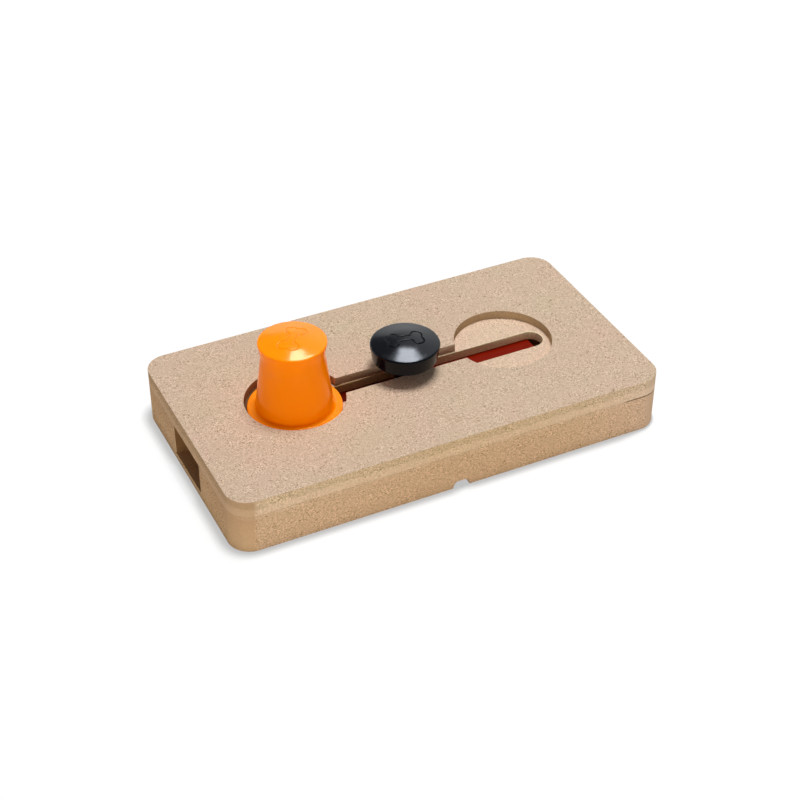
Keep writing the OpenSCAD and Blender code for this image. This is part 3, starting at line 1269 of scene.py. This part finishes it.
@dataclass
class Cup:
    """The loose cup that hides a treat."""

    flange_t: float = 1.8 * MM
    foot_r: float = 18.55 * MM
    waist_r: float = 15.05 * MM
    rim_r: float = 16.2 * MM
    height: float = 38.1 * MM
    waist_drop: float = 7.6 * MM
    curve_r: float = 20 * MM
    rim_round: float = 0.8 * MM
    flange_round: float = 0.5 * MM
    foot_round: float = 1.6 * MM
    wall: float = 1.8 * MM
    foot_steps: int = 10
    curve_steps: int = 32
    facets: int = 320
    mark: BoneMark = BoneMark(groove_w=0.8 * MM, groove_depth=0.3 * MM, turn=math.radians(48))

    def tangent(self, end: Vector, bend: Vector, side: int) -> Vector:
        """Find where a straight line from one end of the side runs into the waist's curve.

        Args:
            end: Foot or rim of the side.
            bend: Centre of the waist's curve.
            side: 1 for the foot and -1 for the rim.

        Returns:
            The point where the line touches the curve.
        """
        to_bend = bend - end
        lean = math.atan2(to_bend.y, to_bend.x) + side * math.asin(self.curve_r / to_bend.length)
        length = math.sqrt(to_bend.length_squared - self.curve_r ** 2)
        return end + Vector((math.cos(lean), math.sin(lean))) * length

    def build(self) -> None:
        """Make the cup as one shell, turned about its axis."""
        low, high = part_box("cup")
        flange_r = (high.x - low.x) / 2
        apex = high.z - low.z
        dome = Dome(self.rim_r, apex, apex - self.height, self.mark)
        foot = Vector((self.foot_r, self.flange_t))
        bend = Vector((self.waist_r + self.curve_r, self.height - self.waist_drop))
        curve_low, curve_high = self.tangent(foot, bend, 1), self.tangent(dome.rim, bend, -1)
        sweep = -(curve_low - bend).angle(curve_high - bend)
        inward = (bend - curve_low).normalized() * -self.wall
        roof = Vector((self.rim_r - self.wall, self.height - self.wall))
        inner_foot = foot + inward
        inner_foot -= (curve_low - foot) * (inner_foot.y / (curve_low - foot).y)
        profile = Outline(Plane.PROFILE, inner_foot)
        profile.corner((flange_r, 0), (flange_r, self.flange_t), self.flange_round)
        profile.corner((flange_r, self.flange_t), foot, self.flange_round)
        profile.corner(foot, curve_low, self.foot_round, self.foot_steps)
        profile.line(curve_low).arc(bend, sweep, self.curve_steps)
        profile.corner(dome.rim, dome.over_rim(), self.rim_round, RIM_STEPS)
        dome.draw(profile)
        profile.line((0, roof.y)).corner(roof, curve_high + inward, self.rim_round)
        profile.line(curve_high + inward).arc(bend, -sweep, self.curve_steps).close()
        turn_about(profile.mesh, profile, self.facets)
        self.mark.engrave(profile.mesh, self.height)
        place = ((low.x + high.x) / 2, (low.y + high.y) / 2, low.z)
        bmesh.ops.translate(profile.mesh, verts=profile.mesh.verts[:], vec=place)
        piece = Piece("cup_moulded", "cup", Body.CUP, Slot.ORANGE_PLASTIC)
        # The third colour is painted light, a paler tone on the upward faces, and the glow is painted light
        # coming through the thin wall
        orange = MouldedPlastic(
            "orange polypropylene, moulded", "ff8a00", "fe8700", "ff9900", (0.1, 0.15), 0.2,
            (1.0, 0.94, 0.52), glow="762a00", scatter=0.2, scatter_mm=1.5)
        piece.make(profile.mesh, [orange.material()])


class LampUse(Enum):
    """What a lamp is hung for."""

    BOTH = "lights matt things and shows in gloss"
    LIGHT = "lights matt things alone"
    GLOSS = "shows in gloss alone"


@dataclass(frozen=True)
class Lamp:
    """A softbox over the table, or a card that shows only as a reflection in gloss."""

    name: str
    place: Triple
    aim: Triple
    width: float
    depth: float
    watts: float
    colour: Triple = (1.0, 1.0, 1.0)
    use: LampUse = LampUse.BOTH

    def build(self) -> None:
        """Hang the softbox and point it at its aim."""
        data = bpy.data.lights.new(self.name, "AREA")
        data.shape = "RECTANGLE"
        data.size = self.width
        data.size_y = self.depth
        data.energy = self.watts
        data.color = self.colour
        lamp = bpy.data.objects.new(self.name, data)
        bpy.context.scene.collection.objects.link(lamp)
        lamp.visible_diffuse = self.use is not LampUse.GLOSS
        lamp.visible_glossy = self.use is not LampUse.LIGHT
        lamp.location = self.place
        lamp.rotation_mode = "QUATERNION"
        lamp.rotation_quaternion = (Vector(self.aim) - Vector(self.place)).to_track_quat("-Z", "Y")


@dataclass
class Studio:
    """Camera, lamps, pale floor and white surroundings."""

    azimuth: float = math.radians(-26.05)
    elevation: float = math.radians(37.34)
    roll: float = math.radians(0.11)
    distance: float = 0.8354
    aim_right: float = -0.86 * MM
    aim_up: float = 7.57 * MM
    lens_mm: float = 77.07
    sensor_mm: float = 36.0
    ambient: float = 0.17
    wall: float = 1.5
    wall_span: Pair = (0.37, 0.44)
    ceiling: Pair = (0.23, 1.65)
    ceiling_span: Pair = (0.18, 0.5)
    front: float = 0.15
    front_span: Pair = (-0.2, 0.5)
    floor_size: float = 4.0
    shadow_left: float = 6.8 * MM
    shadow_front: float = 5.4 * MM
    shadow_right: float = 1.6 * MM
    shadow_depth: float = 1.4
    deepest: float = 0.56
    left_end: float = 10 * MM
    right_end: Pair = (25 * MM, 5 * MM)
    own_share: float = 0.91
    own_span: Pair = (0.25, 0.6)
    lit_share: float = 0.12
    card_white: float = 0.92
    lamps: tuple[Lamp, ...] = (
        Lamp("overhead_softbox", (0.28, 0.2, 1.9), (0.0, 0.0, 0.03), 0.66, 0.66, 28.0),
        Lamp("front_fill", (-0.52, -1.15, 0.17), (0.0, 0.0, 0.02), 0.8, 0.3, 4.85, use=LampUse.LIGHT),
        Lamp("rear_reflector", (0.54, 0.92, 1.95), (0.0, 0.0, 0.03), 0.57, 0.5, 28.5,
             (1.0, 1.0, 1.05), LampUse.GLOSS),
    )

    def build_camera(self) -> None:
        """Set up the camera at the photograph's viewing angle."""
        back = Vector((
            math.sin(self.azimuth) * math.cos(self.elevation),
            -math.cos(self.azimuth) * math.cos(self.elevation),
            math.sin(self.elevation)))
        right = (-back).cross(Vector((0, 0, 1))).normalized()
        up = right.cross(-back)
        data = bpy.data.cameras.new("camera")
        data.lens = self.lens_mm
        data.sensor_width = self.sensor_mm
        camera = bpy.data.objects.new("camera", data)
        bpy.context.scene.collection.objects.link(camera)
        camera.location = right * self.aim_right + up * self.aim_up + back * self.distance
        turn = (-back).to_track_quat("-Z", "Y").to_matrix() @ Matrix.Rotation(self.roll, 3, "Z")
        camera.rotation_mode = "QUATERNION"
        camera.rotation_quaternion = turn.to_quaternion()
        bpy.context.scene.camera = camera

    def build_world(self) -> None:
        """Make the white surroundings, which mirror as a white wall behind and a dimmer room."""
        world = bpy.data.worlds.new("white_studio")
        world.use_nodes = True
        nodes = Graph(world.node_tree, "Generated")
        rays = nodes.add("LightPath").outputs
        ceiling = nodes.add("MapRange", [nodes.x, *self.ceiling_span, *self.ceiling])
        wall = nodes.add("MapRange", [nodes.z, *self.wall_span, self.wall, ceiling])
        room = nodes.add("MapRange", [nodes.y, *self.front_span, self.front, 1.0])
        mirrored = nodes.add("Math", [wall, room], operation="MULTIPLY")
        bounced = nodes.add(
            "Math", [rays["Is Glossy Ray"], rays["Is Transmission Ray"]], operation="MAXIMUM")
        around = nodes.add("MapRange", [bounced, 0.0, 1.0, self.ambient, mirrored])
        strength = nodes.add("MapRange", [rays["Is Camera Ray"], 0.0, 1.0, around, 1.0])
        white = nodes.add("Background", [WHITE, strength])
        nodes.add("OutputWorld", [white])
        bpy.context.scene.world = world

    def floor_material(self) -> bpy.types.Material:
        """Make white card that keeps the object's shadow, close in, and that is clear from below.

        Returns:
            The new material.
        """
        material, nodes = new_material("white card, matt")
        camera = nodes.add("LightPath").outputs["Is Camera Ray"]
        half_l = cad_box[1][0]
        # The card's glow is painted darker close to the board as a contact shadow from occlusion, reaching
        # furthest at the left end and least at the right end
        reach = nodes.add("MapRange", [
            nodes.x, -half_l, self.left_end - half_l, self.shadow_left, self.shadow_front])
        ends = (half_l - self.right_end[0], half_l - self.right_end[1])
        thinner = nodes.add("MapRange", [nodes.x, *ends, reach, self.shadow_right])
        near = nodes.add("AmbientOcclusion", {"Distance": thinner}, samples=16)
        shade = nodes.add("Math", [near.outputs["AO"], self.shadow_depth], operation="POWER")
        shown = nodes.add("Math", [shade, self.deepest], operation="MAXIMUM")
        away = nodes.add("VectorMath", [nodes.place], operation="LENGTH")
        own = nodes.add("MapRange", [away, *self.own_span, self.own_share])
        lit = nodes.add("Math", [own, shown], operation="MULTIPLY")
        glow = nodes.add("Math", [camera, lit], operation="MULTIPLY")
        bright = nodes.add("Emission", [WHITE, glow])
        share = nodes.add("MapRange", [camera, 0.0, 1.0, self.card_white, self.lit_share])
        card = nodes.add("BsdfDiffuse", [share])
        both = nodes.add("AddShader", [card, bright])
        clear = nodes.add("BsdfTransparent")
        side = nodes.add("NewGeometry").outputs["Backfacing"]
        surface = nodes.add("MixShader", [side, both, clear])
        nodes.add("OutputMaterial", [surface])
        return material

    def build_floor(self) -> None:
        """Lay the floor under the board."""
        mesh = bmesh.new()
        bmesh.ops.create_grid(mesh, x_segments=1, y_segments=1, size=self.floor_size / 2)
        data = bpy.data.meshes.new("floor")
        mesh.to_mesh(data)
        mesh.free()
        data.materials.append(self.floor_material())
        floor = bpy.data.objects.new("floor", data)
        bpy.context.scene.collection.objects.link(floor)

    def build(self) -> None:
        """Set up the whole studio."""
        bpy.context.scene.view_settings.view_transform = "Standard"
        self.build_camera()
        self.build_world()
        self.build_floor()
        for lamp in self.lamps:
            lamp.build()


def main() -> None:
    """Build the studio and dress every sub-assembly."""
    logging.basicConfig(level=logging.INFO, format="%(name)s: %(message)s")
    Studio().build()
    Board().build()
    Slider().build()
    Cup().build()


if __name__ == "__main__":
    main()
